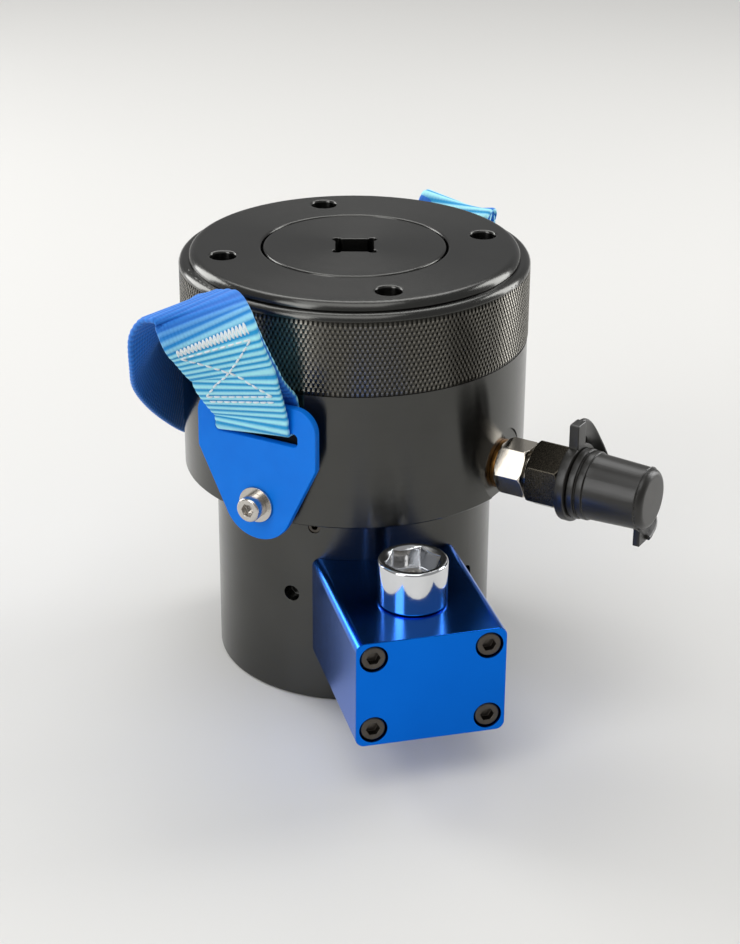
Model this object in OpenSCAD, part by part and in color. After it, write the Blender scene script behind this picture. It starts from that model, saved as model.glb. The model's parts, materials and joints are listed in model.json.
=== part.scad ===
// Hydraulic bolt tensioner with a geared nut rotator, a carry strap and a capped hose coupler.
// Origin at the centre of the bridge's foot, Z up, gearbox towards -Y. Millimetres.
// Angles round the body count from -Y towards +X.

/* [Bolt and puller] */
// Core diameter of the thread that grips the bolt
thread_d = 31.7; // [28:0.1:34]
// Depth of that thread
thread_l = 60; // [40:1:66]
// Wall of the puller round the thread
puller_wall = 8.15; // [6:0.05:9.2]
// Thickness of the puller's head
head_h = 12.5; // [10:0.1:15]
// Ring gap round the head in the cap
head_gap = 0.55; // [0.4:0.05:0.8]
// Width of the square drive in the head
square_w = 13; // [9.8:0.1:16]
// Depth of the square drive
square_depth = 18; // [12:0.5:22]
// Turn of the square drive about the axis, in degrees
square_turn = -14; // [-45:1:45]

/* [Cylinder and piston] */
// Stroke of the piston
stroke = 12; // [8:0.5:16]
// Wall of the piston round the puller
piston_wall = 7.5; // [6:0.1:8.5]
// Height of the piston's flange
piston_h = 45; // [43:0.5:54]
// Width of the ring that the oil presses on
annulus_w = 12; // [11.5:0.1:13]
// Outer diameter of the cylinder below its knurl
body_d = 119.5; // [117:0.5:126]
// Thickness of the cylinder's floor
floor_t = 7.3; // [6.5:0.1:10]
// Height of the knurled band
knurl_h = 26; // [16:0.5:30]
// Depth of the knurl's grooves
knurl_depth = 0.5; // [0.3:0.05:0.8]
// Radius of the cylinder's top edge
shoulder_r = 2.2; // [1:0.1:2.6]
// Number of return springs
spring_count = 6; // [4:1:8]
// Outer diameter of a return spring
spring_d = 8; // [6:0.1:8.6]
// Wire of a return spring
spring_wire = 1.4; // [1:0.1:1.6]
// Depth of a spring's pocket in the piston
spring_pocket = 18; // [14:0.5:18]

/* [Cap] */
// How far the cap's lip stands back from the cylinder's side
lip_inset = 3.15; // [2.8:0.05:4.5]
// Height of the lip above the cylinder
lip_h = 2.9; // [2:0.1:4]
// Depth of the screwed part below the lip
cap_screw_h = 9; // [8:0.1:12]
// Circle of the pin spanner holes
pin_circle_d = 91.2; // [84:0.1:96]
// Diameter of a pin spanner hole
pin_hole_d = 8.8; // [6:0.1:10]
// Depth of a pin spanner hole
pin_hole_depth = 6; // [4:0.5:8]

/* [Bridge and nut rotator] */
// Height of the bridge, from its foot to the cylinder
bridge_h = 72.7; // [70:0.1:84]
// Wall of the bridge round the rotator
bridge_wall = 7.6; // [7:0.1:10]
// Depth of the cylinder's spigot in the bridge
spigot_h = 12.5; // [10:0.1:14]
// Width of the nut across its flats, with room to slip over it
nut_af = 55.6; // [50:0.1:58]
// Module of the gears
gear_m = 1.5; // [1.4:0.05:1.6]
// Width of the gears
gear_w = 12; // [9:0.5:14]
// Height of the sight holes round the bridge
sight_z = 40; // [36:0.5:46]
// Diameter of a sight hole
sight_d = 5.5; // [4:0.1:7]

/* [Gearbox] */
// Height of the gearbox's underside above the foot
box_z = 17.6; // [16:0.1:20]
// Height of the gearbox
box_h = 37.8; // [36:0.1:42]
// Wall beside the gears
box_side_wall = 9.6; // [9:0.1:12]
// Wall in front of the gears
box_front_wall = 8.7; // [8:0.1:12]
// Radius of the gearbox's long edges
box_corner_r = 3; // [1:0.1:4]
// Distance of the gearbox screws from its sides
box_screw_edge = 5.9; // [5.6:0.1:6.4]
// Teeth of the idler and of the drive gear
pinion_teeth = 18; // [18:2:20]
// Diameter of the drive socket
socket_d = 23; // [21:0.1:26]
// Height of the drive socket
socket_h = 15.3; // [13:0.1:18]
// Width of the drive socket's hexagon across its flats
socket_af = 16; // [13:0.1:17]
// Depth of the drive socket's hexagon
socket_depth = 7.5; // [5:0.1:8]

/* [Lugs and strap] */
// Angle of the front lug round the body, with the other lug opposite
lug_turn = -43; // [-60:1:-40]
// Height of the lug's screw above the bridge
lug_rise = 8.3; // [7.5:0.1:12]
// Width of a lug
lug_w = 44.8; // [42:0.2:48]
// Thickness of a lug
lug_t = 3; // [2:0.1:3.5]
// Radius of a lug's round foot
lug_foot_r = 13; // [10:0.1:15]
// Height of a lug above its screw
lug_h = 37; // [36:0.5:39]
// Height above the screw at which a lug's sides begin to taper
lug_taper_h = 16.5; // [14:0.5:20]
// Radius of a lug's top corners
lug_corner_r = 8; // [3:0.5:9]
// Length of the strap's slot
slot_l = 31; // [30.5:0.5:34]
// Height of the strap's slot
slot_h = 4.5; // [4:0.1:5.5]
// Height of the bar above the slot
slot_bar = 9; // [7:0.1:10]
// Width of the strap
strap_w = 30; // [24:1:30]
// Thickness of the strap
strap_t = 1.8; // [1.2:0.1:2]

/* [Hose coupler] */
// Angle of the hose coupler round the body
port_turn = 45; // [40:1:60]
// Height of the hose coupler above the bridge
port_rise = 10.6; // [10:0.1:11.5]
// Diameter of the spot face under the washer
port_spot_d = 25; // [22:0.5:27]
// Diameter of the sealing washer
port_washer_d = 17; // [15:0.1:19]
// Thickness of the sealing washer
port_washer_t = 1.5; // [1:0.1:2]
// Width of the adaptor's hexagon across its flats
adaptor_af = 17; // [15:0.5:19]
// Length of the adaptor's hexagon
adaptor_l = 10.4; // [8:0.1:13]
// Width of the coupler's hexagon across its flats
coupler_af = 20.8; // [18:0.2:24]
// Length of the coupler's hexagon
coupler_l = 12; // [10:0.1:15]
// Diameter of the coupler's nose
nose_d = 14; // [13:0.1:15]
// Length of the coupler's nose
nose_l = 24; // [22:0.5:27]
// Travel of the valve in the nose
valve_travel = 3; // [2:0.1:3.5]
// Diameter of the dust cap at its mouth
dust_cap_d = 23; // [21:0.1:25]
// Diameter of the dust cap at its end
dust_cap_end_d = 21; // [19:0.1:21]
// Thickness of the dust cap's end
dust_cap_end_t = 6; // [3:0.1:8]
// Diameter of the tether's ring
tether_ring_d = 27; // [25:0.1:29]
// Thickness of the tether's ring
tether_ring_t = 3.5; // [2.5:0.1:4.5]
// Width of the tether
tether_w = 6; // [4:0.1:7]
// Thickness of the tether
tether_t = 1.6; // [1:0.1:2]

/* [Clearances] */
// Gap between faces of two pieces that move past each other
gap = 0.3; // [0.2:0.05:0.5]
// Radial gap of a running fit
run = 0.05; // [0.03:0.01:0.1]
// Radial gap of a screwed or spigot fit
fit = 0.1; // [0.05:0.01:0.2]
// Radial gap left in a pressed fit
press = 0.02; // [0.01:0.01:0.04]

/* [Hidden] */
$fn = 96;

black_steel = "#2b2a26";
bright_steel = "#b9bcc0";
spring_steel = "#6d7075";
nylon = "#d8d2bf";
rubber = "#1c1c1d";
bronze = "#b08a4a";
blue_anodised = "#0b4fb3";
blue_paint = "#0b6fd6";
blue_webbing = "#1f8fe8";
copper = "#b9763a";

over = 1;
edge = 0.5;

// Metric socket head screw of the gearbox and the lugs
m5_d = 5;
m5_head_d = 8.5;
m5_head_h = 5;
m5_key_af = 4;
m5_key_depth = 2.5;

// Retaining rings: thickness, depth of groove and open angle
ring_t = 1.7;
ring_groove = 1.6;
ring_open = 40;

// Gears: pressure angle, flank steps and thinning of each flank for backlash
pressure = 20;
flank_steps = 4;
lash = 0.06;
tip_room = 0.4;

// Nut rotator
nut_wall = 2.4;
gear_rim = 2.6;
sleeve_r = nut_af / sqrt(3) + nut_wall;
rotator_teeth = 2 * ceil((sleeve_r + gear_rim) / gear_m + 1.25);
rotator_pitch_r = gear_m * rotator_teeth / 2;
rotator_tip_r = rotator_pitch_r + gear_m;
rotator_bore_r = rotator_tip_r + tip_room + fit;
pinion_pitch_r = gear_m * pinion_teeth / 2;
pinion_tip_r = pinion_pitch_r + gear_m;
idler_y = rotator_pitch_r + pinion_pitch_r;
drive_y = idler_y + 2 * pinion_pitch_r;
gear_z = box_z + (box_h - gear_w) / 2;
gear_top = gear_z + gear_w;

// Bridge
bridge_r = rotator_bore_r + bridge_wall;
spigot_wall = 5.2;
spigot_r = bridge_r - spigot_wall;
spigot_z = bridge_h - spigot_h;
rotator_roof = gear_top + 2 * gap;
bridge_lip = 1.5;
bridge_neck_r = sleeve_r + bridge_lip;
foot_ring_z = 2.5;
rotator_z = foot_ring_z + ring_t + 2 * gap;
sight_turns = [-140, -40, 40, 140];
sight_depth = 5;
grub_turns = [-30, 90, 210];
grub_d = 4;
grub_key_af = 2;
grub_key_depth = 3.5;
grub_drop = 6.1;
grub_z = bridge_h - grub_drop;
grub_groove_w = 4;
grub_groove = 1;

// Puller and piston
puller_neck_r = thread_d / 2 + puller_wall;
piston_bore_r = puller_neck_r + 4 * fit;
piston_neck_r = piston_bore_r + piston_wall;
neck_bore_r = piston_neck_r + fit;
bore_r = neck_bore_r + annulus_w;
piston_r = bore_r - fit;
cyl_r = body_d / 2;
knurl_r = cyl_r + knurl_depth / 2;
knurl_root_r = knurl_r - knurl_depth;
cap_bore_r = piston_neck_r;
collar_r = cap_bore_r - head_gap - fit;
head_r = cap_bore_r - head_gap;
puller_room = 2;
puller_z = rotator_roof + puller_room;

// Levels of the cylinder, from the floor up
floor_z = bridge_h + floor_t;
piston_z = floor_z + gap;
piston_top = piston_z + piston_h;
cap_room = 1.8;
cap_z = piston_top + stroke + cap_room;
cyl_top = cap_z + cap_screw_h;
top_z = cyl_top + lip_h;
head_z = top_z - head_h;
collar_top = head_z - gap;
tail_l = 8.7;
tail_z = bridge_h - tail_l;
knurl_top = cyl_top - shoulder_r;
knurl_z = knurl_top - knurl_h;

// Cap
lip_r = cyl_r - lip_inset;
cap_thread_step = 8;
mouth_r = bore_r + cap_thread_step;
cap_screw_r = mouth_r - fit;

// Piston's grooves, from the flange's foot up
relief_h = 7;
relief_w = 4;
seal_land = 3.8;
seal_h = 4;
seal_depth = 3.4;
backup_h = 1.4;
guide_land = 3;
guide_h = 5.5;
guide_depth = 2;
seal_z = piston_z + relief_h + seal_land;
backup_z = seal_z + seal_h;
guide_z = backup_z + backup_h + guide_land;
neck_seal_h = 4;
neck_seal_drop = 2.7;
neck_seal_z = bridge_h - neck_seal_drop;

// Return springs
spring_turns = 6;
spring_circle_r = (collar_r + bore_r) / 2;
spring_z = piston_top - spring_pocket;

// Gearbox
pocket_r = pinion_tip_r + tip_room;
box_w = 2 * (pocket_r + box_side_wall);
box_front = drive_y + pocket_r + box_front_wall;
box_mid_z = box_z + box_h / 2;
box_top = box_z + box_h;
pocket_room = 1;
pocket_z = gear_z - pocket_room;
pocket_top = gear_top + pocket_room;
box_screw_x = box_w / 2 - box_screw_edge;
box_screw_z = box_h / 2 - box_screw_edge;
box_recess_depth = m5_head_h + edge;
box_screw_grip = 5.5;
box_screw_seat = box_front - box_recess_depth;
box_screw_end = sqrt(bridge_r * bridge_r - box_screw_x * box_screw_x) - box_screw_grip;

// Cover under the gearbox and its countersunk screws
cover_t = 3;
cover_top = box_z + cover_t;
cover_rim_x = 3.2;
cover_rim_y = 2.4;
cover_half_w = pocket_r + cover_rim_x;
cover_front = drive_y + pocket_r + cover_rim_y;
boss_r = 10.5;
boss_top = pocket_z - gap;
cover_screw_d = 3;
cover_screw_l = 8;
cover_key_af = 2;
cover_screw_x = 12.5;
cover_screw_ys = [drive_y - pinion_pitch_r, drive_y + pinion_pitch_r];

// Drive shaft and idler
journal_r = 6;
seat_r = 7;
seat_flat = 6.2;
bush_wall = 2;
upper_bush_wall = 2.5;
pin_r = 5;
pin_seat = 1.6;
pin_grip = 7;
pin_top = pocket_top + pin_grip;
shaft_end_af = 10;
shaft_end_h = 5;
shaft_z = cover_top + gap;
shaft_top = box_top + gap;

// Drive socket and its screw
socket_z = shaft_top;
socket_top = socket_z + socket_h;
socket_floor = socket_top - socket_depth;
socket_lead = 1;
socket_screw_d = 4;
socket_screw_head_d = 7;
socket_screw_head_h = 2.2;
socket_screw_l = 11;
socket_key_af = 2.5;

// Lugs, counted along their own axis from the centre of the body
half_turn = 180;
back_turn = lug_turn + half_turn;
lug_z = bridge_h + lug_rise;
lug_spot_depth = 0.75;
lug_spot_r = cyl_r - lug_spot_depth;
bar_gap = 0.8;
lug_seat_r = knurl_r + gap + strap_t + bar_gap;
lug_play = 0.1;
lug_in_r = lug_seat_r + lug_play;
lug_out_r = lug_in_r + lug_t;
lug_boss_end = lug_out_r + lug_play;
lug_boss_r = 4;
lug_flange_r = 8;
lug_washer_d = 12.4;
lug_washer_t = 1;
lug_washer_end = lug_boss_end + lug_washer_t;
lug_screw_grip = 9;
slot_top = lug_h - slot_bar;
slot_corner_r = 1.5;

// Strap ends: a loop round the bar that closes to a doubled strap above the lug
loop_mid_r = (lug_in_r + lug_out_r) / 2;
loop_in_r = lug_t / 2 + bar_gap;
loop_out_r = loop_in_r + strap_t;
loop_rise = 1.4;
loop_z = lug_z + slot_top + loop_rise;
lug_top_z = lug_z + lug_h;
loop_straight = 1.5;
loop_straight_z = lug_top_z + loop_straight;
strap_end_h = 9;
strap_end_z = lug_top_z + strap_end_h;
strap_lean = 10;

// Routes of the strap from its front end and its back end to its middle: out along the lug's axis,
// over to the free side, up, then the direction of its width
strap_front_route = [
    [0, 0, 0, 0, -1, 0],
    [0.9, 0, 2.5, -0.05, -1, 0],
    [2.8, 0.4, 5.5, -0.15, -1, 0.1],
    [6, 1.4, 11, -0.3, -0.9, 0.3],
    [8, 3.8, 16.5, -0.45, -0.85, 0.3],
    [7.5, 7, 21, -0.5, -0.8, 0.25],
    [4, 12, 24, -0.6, -0.8, 0.2],
    [0.5, 19, 22.5, -0.75, -0.6, 0.2],
    [-2, 27.5, 15, -0.85, -0.4, 0.3],
    [-7.5, 37, 4, -0.85, -0.2, 0.5],
    [-17, 46.5, -6, -0.75, 0, 0.7],
    [-34.5, 55, -19, -0.6, 0.1, 0.8],
    [-53.5, 61, -33, -0.5, 0.1, 0.85],
    [-72.5, 64.5, -45, -0.45, 0, 0.9]
];
strap_back_route = [
    [0, 0, 0, 0, -1, 0],
    [0.7, 0, 2.5, 0, -1, 0],
    [2, 0.5, 7, -0.1, -1, 0],
    [4.5, 1, 12, -0.2, -1, -0.1],
    [8.5, 1.5, 12.5, -0.2, -1, -0.1],
    [13.5, 2, 5, -0.2, -1, -0.1],
    [15.5, 3.5, -6, -0.2, -0.95, -0.15],
    [15.5, 9, -19, -0.4, -0.85, -0.35],
    [11.5, 22, -33, -0.8, -0.6, -0.05],
    [-0.5, 40, -44, -0.7, -0.45, 0.5],
    [-18.5, 53, -51, -0.4, -0.45, 0.8],
    [-38.5, 62, -54, -0.1, -0.3, 0.95],
    [-58.5, 66, -52, 0.2, -0.1, 0.95]
];
strap_start = strap_end_z + 4 * gap;
// The routes are set out for a strap that passes the body at this radius, and widen with the body
strap_route_r = 64.5;
strap_body_gap = 4.75;
strap_spread = (cyl_r + strap_body_gap) / strap_route_r;
strap_steps = 3;

// Hose coupler, counted along its own axis from the centre of the body
port_z = bridge_h + port_rise;
port_spot_depth = 1.2;
port_spot_r = cyl_r - port_spot_depth;
port_thread_d = 11.4;
port_thread_l = 11;
port_drill_d = 4;
washer_room = 0.4;
washer_hole_d = port_thread_d + 2 * washer_room;
adaptor_r = port_spot_r + port_washer_t;
adaptor_end = adaptor_r + adaptor_l;
neck_d = 13;
neck_l = 2;
coupler_r = adaptor_end + neck_l;
coupler_end = coupler_r + coupler_l;
nose_end = coupler_end + nose_l;
joint_d = 8;
joint_l = 8;
hex_chamfer = 1;
valve_bore_d = 9;
valve_bore_l = 18;
valve_head_l = 6;
valve_stem_d = 4;
valve_seat = 0.5;
valve_z = nose_end - valve_seat - valve_head_l;
valve_spring_wire = 0.8;
valve_spring_turns = 5;
bead_w = 3;
bead_h = 0.6;
bead_gap = 0.6;
tether_ring_z = coupler_end + gap;
tether_tab_h = 8;
tether_ring_end = tether_ring_z + tether_ring_t;
dust_cap_z = tether_ring_end + gap;
dust_cap_bore_r = nose_d / 2 + gap;
dust_cap_floor = nose_end + gap;
dust_cap_end = dust_cap_floor + dust_cap_end_t;
dust_cap_round = 2.5;
dust_tab_w = 7;
dust_tab_t = 2.5;
dust_tab_h = 6;
dust_tab_reach = dust_cap_end_d / 2 + dust_tab_h;
dust_tab_z = dust_cap_end - dust_cap_round - dust_tab_t;

// Route of the tether in the coupler's own frame: sideways, up, and along it from the ring's face,
// then the direction of its width
tether_tip_y = tether_ring_d / 2 + tether_tab_h;
tether_route = [
    [0.4, tether_tip_y - 3, 1.8, 0, 1, 0],
    [6, tether_tip_y - 4, 3, -0.2, 0.95, 0],
    [13, 11, 9, -0.7, 0.6, 0.2],
    [15, 3, 16, -0.2, 0.3, 0.9],
    [13, -6, 22, 0.2, 0.3, 0.9],
    [7, -12, 25, 0.4, -0.3, 0.8],
    [1, -14, 26, 0.1, -0.4, 0.9]
];

// Places children on a radius at an angle and height, with their Z pointing outwards and Y up
module radial(turn, z) {
    rotate([0, 0, turn])
        translate([0, 0, z])
            rotate([90, 0, 0])
                children();
}

// Half section of a ring between two radii and two heights
module band(r0, r1, z0, z1) {
    translate([r0, z0])
        square([r1 - r0, z1 - z0]);
}

// A rectangle with rounded corners
module rounded(w, h, r) {
    x = w / 2 - r;
    y = h / 2 - r;
    square([2 * x, h], center = true);
    square([w, 2 * y], center = true);
    for (corner = [[-x, -y], [x, -y], [x, y], [-x, y]])
        translate(corner)
            circle(r = r, $fn = 32);
}

// What a round of radius r takes off an outer corner of a half section
module round_cut(corner_r, corner_z, r) {
    difference() {
        translate([corner_r - r, corner_z - r])
            square(r + over);
        translate([corner_r - r, corner_z - r])
            circle(r = r);
    }
}

// What a chamfer takes off a corner of a half section: out and up are 1 or -1
module chamfer_cut(corner_r, corner_z, c, out, up) {
    polygon([
        [corner_r - out * c, corner_z + up * over],
        [corner_r - out * c, corner_z],
        [corner_r, corner_z - up * c],
        [corner_r + out * over, corner_z - up * c],
        [corner_r + out * over, corner_z + up * over]
    ]);
}

module tube(r_in, r_out, z0, z1) {
    rotate_extrude()
        band(r_in, r_out, z0, z1);
}

module post(r, z0, z1) {
    translate([0, 0, z0])
        cylinder(r = r, h = z1 - z0);
}

module hex(af, z0, z1) {
    translate([0, 0, z0])
        cylinder(r = af / sqrt(3), h = z1 - z0, $fn = 6);
}

// Hexagonal bar with both ends turned to a cone
module hex_bar(af, z0, z1, c) {
    intersection() {
        hex(af, z0, z1);
        rotate_extrude()
            polygon([
                [0, z0], [af / sqrt(3) - c, z0], [af / sqrt(3), z0 + c],
                [af / sqrt(3), z1 - c], [af / sqrt(3) - c, z1], [0, z1]
            ]);
    }
}

// Socket head screw that stands on z = 0 with its shank below
module socket_screw_shape(shank_l) {
    difference() {
        union() {
            rotate_extrude()
                difference() {
                    band(0, m5_head_d / 2, 0, m5_head_h);
                    chamfer_cut(m5_head_d / 2, m5_head_h, edge, 1, 1);
                }
            post(m5_d / 2, -shank_l, 0);
        }
        hex(m5_key_af, m5_head_h - m5_key_depth, m5_head_h + over);
    }
}

// Open retaining ring
module open_ring(r_in, r_out, z) {
    rotate([0, 0, ring_open / 2])
        rotate_extrude(angle = 360 - ring_open)
            band(r_in, r_out, z, z + ring_t);
}

// Involute gear outline, with a tooth centred on the angle given
function involute_deg(a) = tan(a) * 180 / PI - a;
function flank_angle(teeth, r) =
    let (pitch_r = gear_m * teeth / 2, base_r = pitch_r * cos(pressure))
    90 / teeth - lash / pitch_r * 180 / PI + involute_deg(pressure)
        - (r > base_r ? involute_deg(acos(base_r / r)) : 0);
function tooth_radii(teeth) =
    let (
        pitch_r = gear_m * teeth / 2,
        root_r = pitch_r - 1.25 * gear_m,
        tip_r = pitch_r + gear_m,
        start_r = max(root_r, pitch_r * cos(pressure))
    )
    concat(
        start_r > root_r ? [root_r] : [],
        [for (i = [0:flank_steps]) start_r + (tip_r - start_r) * i / flank_steps]
    );
function polar(r, a) = [r * cos(a), r * sin(a)];
function gear_outline(teeth, phase) =
    let (radii = tooth_radii(teeth), last = len(radii) - 1)
    [for (k = [0:teeth - 1])
        let (mid = phase + k * 360 / teeth)
        for (i = [0:2 * last + 1])
            let (r = radii[i <= last ? i : 2 * last + 1 - i], side = i <= last ? -1 : 1)
            polar(r, mid + side * flank_angle(teeth, r))];

module gear(teeth, phase) {
    translate([0, 0, gear_z])
        linear_extrude(gear_w)
            polygon(gear_outline(teeth, phase));
}

// Closed skin through a list of rings that have the same number of points
module skin(rings) {
    count = len(rings);
    sides = len(rings[0]);
    points = [for (ring = rings) for (p = ring) p];
    walls = [for (i = [0:count - 2]) for (j = [0:sides - 1])
        let (k = (j + 1) % sides)
        each [
            [i * sides + j, (i + 1) * sides + j, (i + 1) * sides + k],
            [i * sides + j, (i + 1) * sides + k, i * sides + k]
        ]];
    first = [for (j = [0:sides - 1]) j];
    end = [for (j = [sides - 1:-1:0]) (count - 1) * sides + j];
    polyhedron(points, concat(walls, [first, end]));
}

// Coil spring on the Z axis
coil_steps = 10;
wire_sides = 5;
function coil_rings(mid_r, wire_r, z0, z1, turns) =
    [for (i = [0:turns * coil_steps])
        let (a = i * 360 / coil_steps, z = z0 + wire_r + (z1 - z0 - 2 * wire_r) * i / (turns * coil_steps))
        [for (j = [0:wire_sides - 1])
            let (b = -j * 360 / wire_sides, r = mid_r + wire_r * cos(b))
            [r * cos(a), r * sin(a), z + wire_r * sin(b)]]];

// Smooth curve through stations, and the rings of a flat band along it
function unit(v) = v / norm(v);
function station(s, i) = s[min(max(i, 0), len(s) - 1)];
function smooth(s, i, t) =
    let (a = station(s, i - 1), b = station(s, i), c = station(s, i + 1), d = station(s, i + 2))
    ((2 * b) + (c - a) * t + (2 * a - 5 * b + 4 * c - d) * t * t + (3 * b - a - 3 * c + d) * t * t * t) / 2;
function fine(s, steps) =
    concat([for (i = [0:len(s) - 2]) for (k = [0:steps - 1]) smooth(s, i, k / steps)], [s[len(s) - 1]]);
function place(v) = [v[0], v[1], v[2]];
function width_dir(v) = [v[3], v[4], v[5]];
function band_rings(s, w, t) =
    [for (i = [0:len(s) - 1])
        let (
            p = place(s[i]),
            along = unit(place(station(s, i + 1)) - place(station(s, i - 1))),
            raw = width_dir(s[i]),
            across = unit(raw - (raw * along) * along) * w / 2,
            thick = unit(cross(along, across)) * t / 2
        )
        [p - across - thick, p + across - thick, p + across + thick, p - across + thick]];

// Cylinder, cap and piston

module cylinder_body() {
    color(black_steel)
    difference() {
        rotate_extrude()
            difference() {
                union() {
                    band(neck_bore_r, cyl_r, bridge_h, cyl_top);
                    band(neck_bore_r, spigot_r - fit, spigot_z, bridge_h);
                    band(bore_r + over, knurl_r, knurl_top, cyl_top);
                }
                band(neck_bore_r - over, bore_r, floor_z, cyl_top);
                band(bore_r - over, mouth_r, cap_z, cyl_top + over);
                band(neck_bore_r - over, neck_bore_r + seal_depth, neck_seal_z, neck_seal_z + neck_seal_h);
                band(spigot_r - fit - grub_groove, spigot_r + over,
                    grub_z - grub_groove_w / 2, grub_z + grub_groove_w / 2);
                band(knurl_root_r, knurl_r + over, knurl_z, knurl_top);
                round_cut(knurl_r, cyl_top, shoulder_r);
                chamfer_cut(cyl_r, bridge_h, edge, 1, -1);
            }
        radial(port_turn, port_z) {
            post(port_spot_d / 2, port_spot_r, knurl_r + over);
            post(port_thread_d / 2 + fit, port_spot_r - port_thread_l - over, port_spot_r + over);
            post(port_drill_d / 2, bore_r - over, port_spot_r);
        }
        for (turn = [lug_turn, back_turn])
            radial(turn, lug_z) {
                post(lug_flange_r + gap, lug_spot_r, knurl_r + over);
                post(m5_d / 2 + fit, lug_spot_r - lug_screw_grip - over, lug_spot_r + over);
            }
    }
}

module cylinder_cap() {
    color(black_steel)
    difference() {
        rotate_extrude()
            difference() {
                union() {
                    band(cap_bore_r, cap_screw_r, cap_z, cyl_top);
                    band(cap_bore_r, lip_r, cyl_top, top_z);
                }
                round_cut(lip_r, top_z, min(lip_h, lip_inset));
                chamfer_cut(cap_bore_r, top_z, edge, -1, 1);
                chamfer_cut(cap_screw_r, cap_z, edge, 1, -1);
            }
        for (turn = [0:90:270])
            rotate([0, 0, turn])
                translate([0, -pin_circle_d / 2, 0])
                    rotate_extrude()
                        union() {
                            band(0, pin_hole_d / 2, top_z - pin_hole_depth, top_z + over);
                            polygon([
                                [0, top_z - edge], [pin_hole_d / 2, top_z - edge],
                                [pin_hole_d / 2 + edge + over, top_z + over], [0, top_z + over]
                            ]);
                        }
    }
}

module piston() {
    color(spring_steel)
    difference() {
        rotate_extrude()
            difference() {
                union() {
                    band(piston_bore_r, piston_neck_r, tail_z, piston_z);
                    band(piston_bore_r, piston_r - relief_w, piston_z, piston_z + relief_h);
                    band(piston_bore_r, piston_r, piston_z + relief_h, piston_top);
                    band(piston_bore_r, collar_r, piston_top, collar_top);
                }
                band(piston_r - seal_depth, piston_r + over, seal_z, backup_z + backup_h);
                band(piston_r - guide_depth, piston_r + over, guide_z, guide_z + guide_h);
                chamfer_cut(piston_r, piston_top, edge, 1, 1);
                chamfer_cut(piston_neck_r, tail_z, edge, 1, -1);
            }
        for (i = [0:spring_count - 1])
            rotate([0, 0, i * 360 / spring_count])
                translate([spring_circle_r, 0, 0])
                    post(spring_d / 2 + gap, spring_z, piston_top + over);
    }
}

module piston_seal() {
    color(rubber)
    tube(piston_r - seal_depth + press, bore_r - run, seal_z + press, backup_z);
}

module piston_backup_ring() {
    color(nylon)
    tube(piston_r - seal_depth + press, bore_r - run, backup_z, backup_z + backup_h - press);
}

module piston_guide_ring() {
    color(bronze)
    tube(piston_r - guide_depth + press, bore_r - run, guide_z + press, guide_z + guide_h - press);
}

module neck_seal() {
    color(rubber)
    tube(piston_neck_r + run, neck_bore_r + seal_depth - press,
        neck_seal_z + press, neck_seal_z + neck_seal_h - press);
}

module return_springs() {
    color(spring_steel)
    for (i = [0:spring_count - 1])
        rotate([0, 0, i * 360 / spring_count])
            translate([spring_circle_r, 0, 0])
                skin(coil_rings((spring_d - spring_wire) / 2, spring_wire / 2,
                    spring_z + press, cap_z - press, spring_turns));
}

module puller() {
    color(black_steel)
    difference() {
        rotate_extrude()
            difference() {
                union() {
                    band(0, head_r, head_z, top_z);
                    band(0, puller_neck_r, puller_z, head_z);
                }
                band(-over, thread_d / 2, puller_z - over, puller_z + thread_l);
                band(puller_neck_r - ring_groove, puller_neck_r + over,
                    tail_z - gap - ring_t - press, tail_z - gap + press);
                chamfer_cut(head_r, top_z, edge, 1, 1);
                chamfer_cut(puller_neck_r, puller_z, edge, 1, -1);
            }
        translate([0, 0, top_z - square_depth])
            rotate([0, 0, square_turn])
                linear_extrude(square_depth + over)
                    square_drive();
    }
}

// Square drive with its corners drilled out
module square_drive() {
    corner = square_w / 2 - edge;
    square(square_w, center = true);
    for (x = [-corner, corner])
        for (y = [-corner, corner])
            translate([x, y])
                circle(r = 2 * edge, $fn = 32);
}

module puller_retaining_ring() {
    color(spring_steel)
    open_ring(puller_neck_r - ring_groove + press, puller_neck_r + 2 * ring_groove, tail_z - gap - ring_t);
}

// Bridge and nut rotator

module bridge() {
    color(black_steel)
    difference() {
        rotate_extrude()
            difference() {
                band(bridge_neck_r, bridge_r, 0, bridge_h);
                band(bridge_neck_r - over, rotator_bore_r, -over, rotator_roof);
                band(bridge_neck_r - over, spigot_r, spigot_z - gap, bridge_h + over);
                band(rotator_bore_r - over, rotator_bore_r + ring_groove,
                    foot_ring_z - press, foot_ring_z + ring_t + press);
                chamfer_cut(bridge_r, 0, edge, 1, -1);
            }
        translate([0, -idler_y, 0]) {
            post(pocket_r, pocket_z, pocket_top);
            post(pin_r + gap, box_z, pin_top + gap);
        }
        for (turn = sight_turns)
            radial(turn, sight_z)
                post(sight_d / 2, bridge_r - sight_depth, bridge_r + over);
        for (turn = grub_turns)
            radial(turn, grub_z)
                post(grub_d / 2 + press, spigot_r - over, bridge_r + over);
        box_screw_places()
            post(m5_d / 2 + fit, box_screw_end - over, bridge_r + over);
    }
}

module bridge_grub_screws() {
    color(spring_steel)
    for (turn = grub_turns)
        radial(turn, grub_z)
            difference() {
                post(grub_d / 2, spigot_r - fit - grub_groove + gap, bridge_r - edge);
                hex(grub_key_af, bridge_r - edge - grub_key_depth, bridge_r);
            }
}

module nut_rotator() {
    color(spring_steel)
    difference() {
        union() {
            post(rotator_bore_r - fit, rotator_z, gear_z);
            post(sleeve_r, gear_z, gear_top + press);
        }
        hex(nut_af, rotator_z - over, gear_top + over);
    }
}

module rotator_gear() {
    color(bright_steel)
    difference() {
        gear(rotator_teeth, -90);
        post(sleeve_r + press, gear_z - over, gear_top + over);
    }
}

module rotator_retaining_ring() {
    color(spring_steel)
    open_ring(rotator_bore_r - 2 * ring_groove, rotator_bore_r + ring_groove - press, foot_ring_z);
}

// Gearbox

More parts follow.
